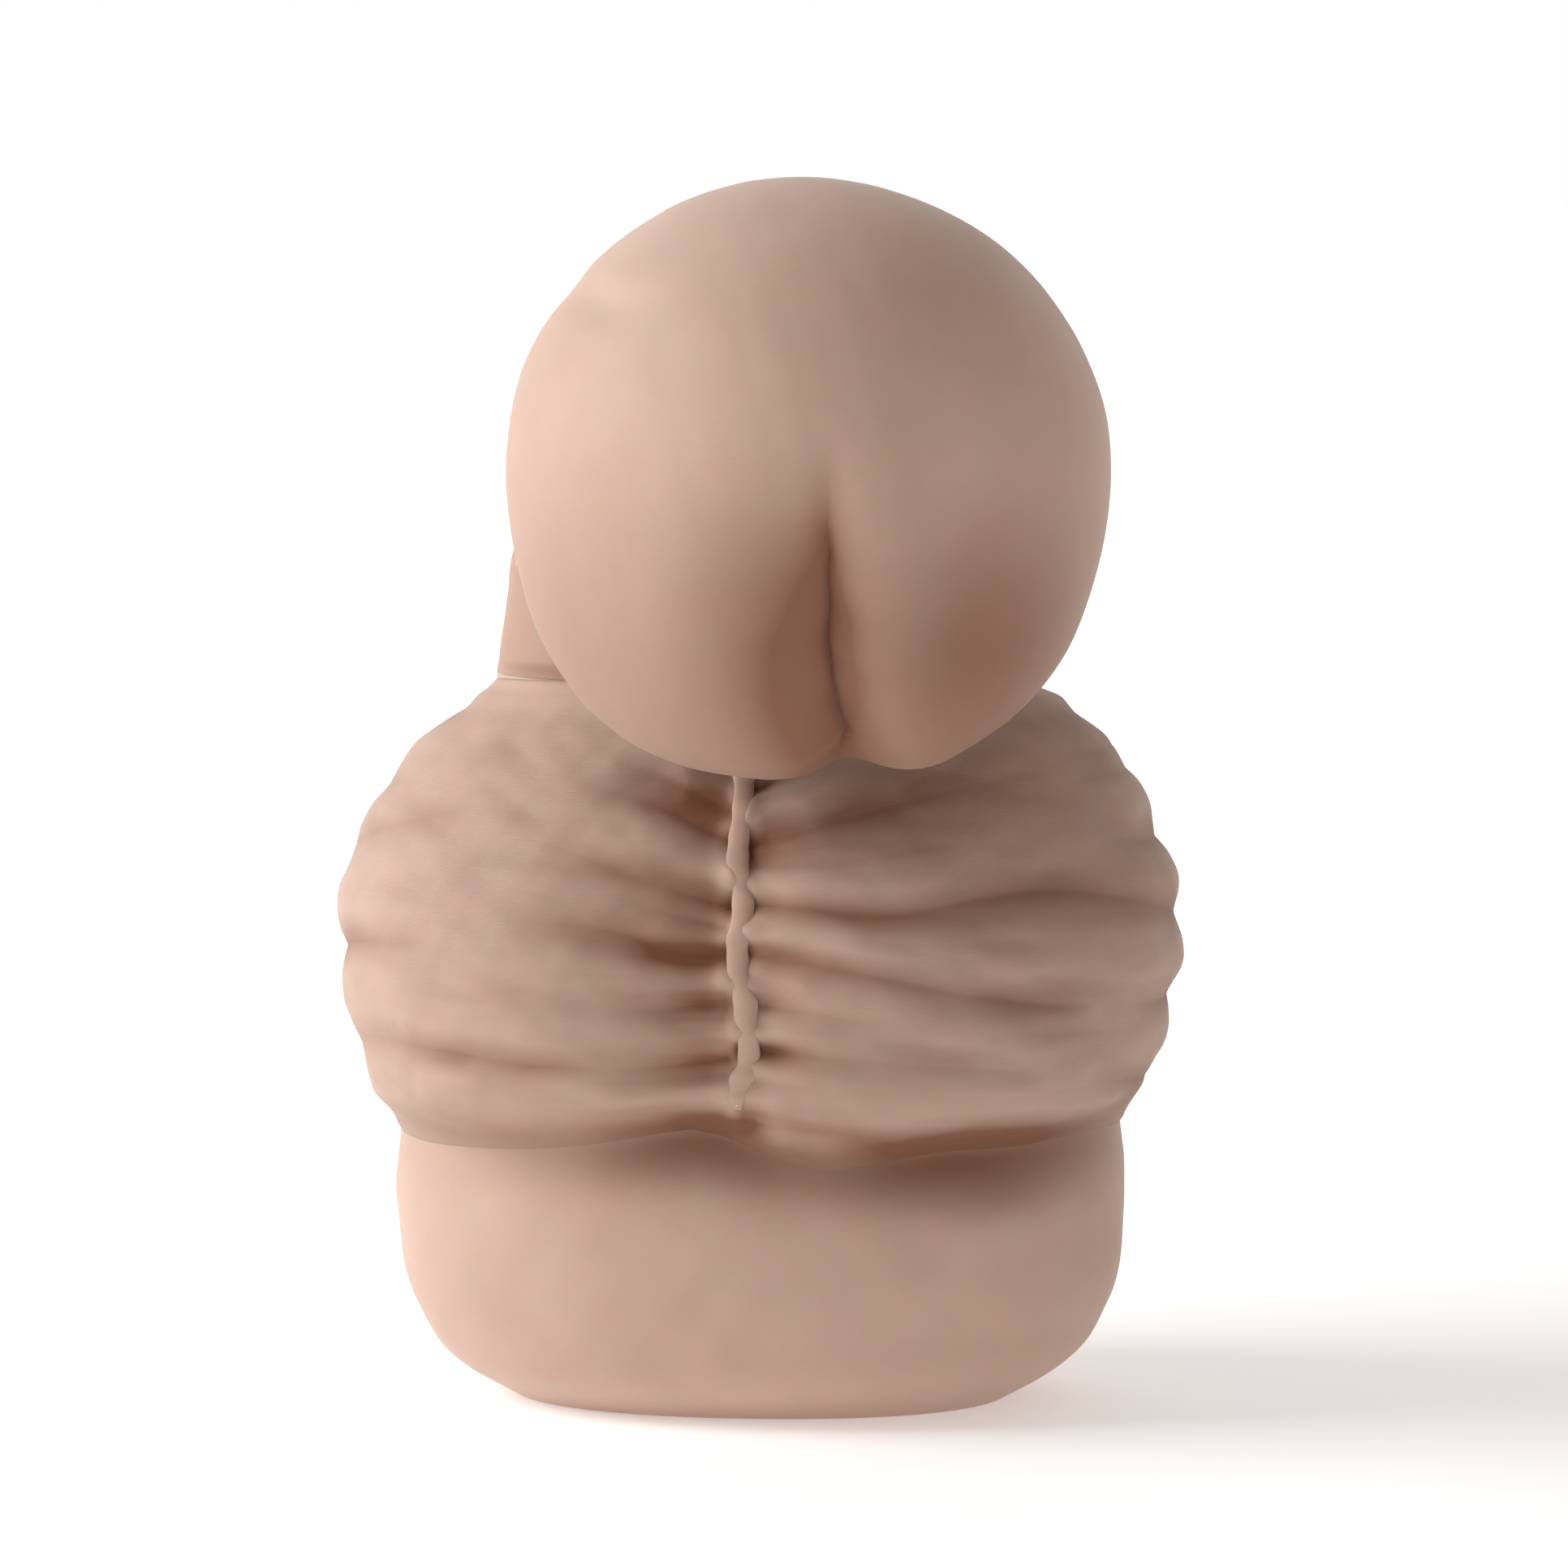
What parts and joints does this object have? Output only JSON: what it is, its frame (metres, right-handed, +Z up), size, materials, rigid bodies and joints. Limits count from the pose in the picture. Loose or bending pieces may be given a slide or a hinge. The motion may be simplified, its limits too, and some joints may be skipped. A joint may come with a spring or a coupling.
{
  "type": "padded training mannequin",
  "caption": "Armless padded torso mannequin with a gathered chest cover and a large faceless ovoid head form that turns and nods on a short neck over a blind post socket.",
  "frame": {"origin": "centre of the stand socket's mouth, on the flat underside", "axes": "+Z up along the torso, neck and socket axis; -Y is the chest's front; +X is the right of a viewer who faces the chest"},
  "size_m": [0.4028, 0.3849, 0.581],
  "materials": {
    "skin": "soft matte skin-tone vinyl",
    "cover": "matte stretch knit, same tone as the skin",
    "elastic": "woven elastic tape",
    "foam": "open-cell foam",
    "plywood": "sanded plywood",
    "black_steel": "black powder coat",
    "zinc_steel": "zinc plated",
    "bronze": "sintered bronze",
    "shell_plastic": "moulded shell",
    "washer_plastic": "friction washer"
  },
  "bodies": {
    "torso": {"base_plate": "plywood", "base_screws": "zinc_steel", "flange_nuts": "zinc_steel", "post_socket": "black_steel", "spine_tube": "black_steel", "spine_pin": "zinc_steel", "grub_screws": "zinc_steel", "bearing_housing": "black_steel", "upper_bush": "bronze", "lower_bush": "bronze", "torso_foam": "foam", "torso_skin": "skin", "chest_pad_left": "foam", "chest_pad_right": "foam", "cover_panel_left": "cover", "cover_panel_right": "cover", "cover_panel_back": "cover", "centre_casing": "cover", "centre_elastic": "elastic", "top_hem": "cover", "top_elastic": "elastic", "bottom_hem": "cover", "bottom_elastic": "elastic"},
    "neck": {"neck_yoke": "black_steel", "spindle_washer": "zinc_steel", "spindle_nut": "zinc_steel", "nod_pin": "zinc_steel", "nod_nut": "zinc_steel", "friction_washers": "washer_plastic", "neck_foam": "foam", "neck_skin": "skin"},
    "head": {"head_bracket": "black_steel", "bracket_bolts": "zinc_steel", "bracket_nuts": "zinc_steel", "skull_front": "shell_plastic", "skull_rear": "shell_plastic", "head_foam": "foam", "head_skin": "skin"}
  },
  "joints": [
    {"name": "neck_turn", "type": "hinge", "parent": "torso", "child": "neck", "pos_m": [0, 0, 0.346], "axis": [0, 0, 1], "range_deg": [-33, 7]},
    {"name": "head_nod", "type": "hinge", "parent": "neck", "child": "head", "pos_m": [0, 0, 0.388], "axis": [-0.9744, -0.225, 0], "range_deg": [0, 20]}
  ]
}
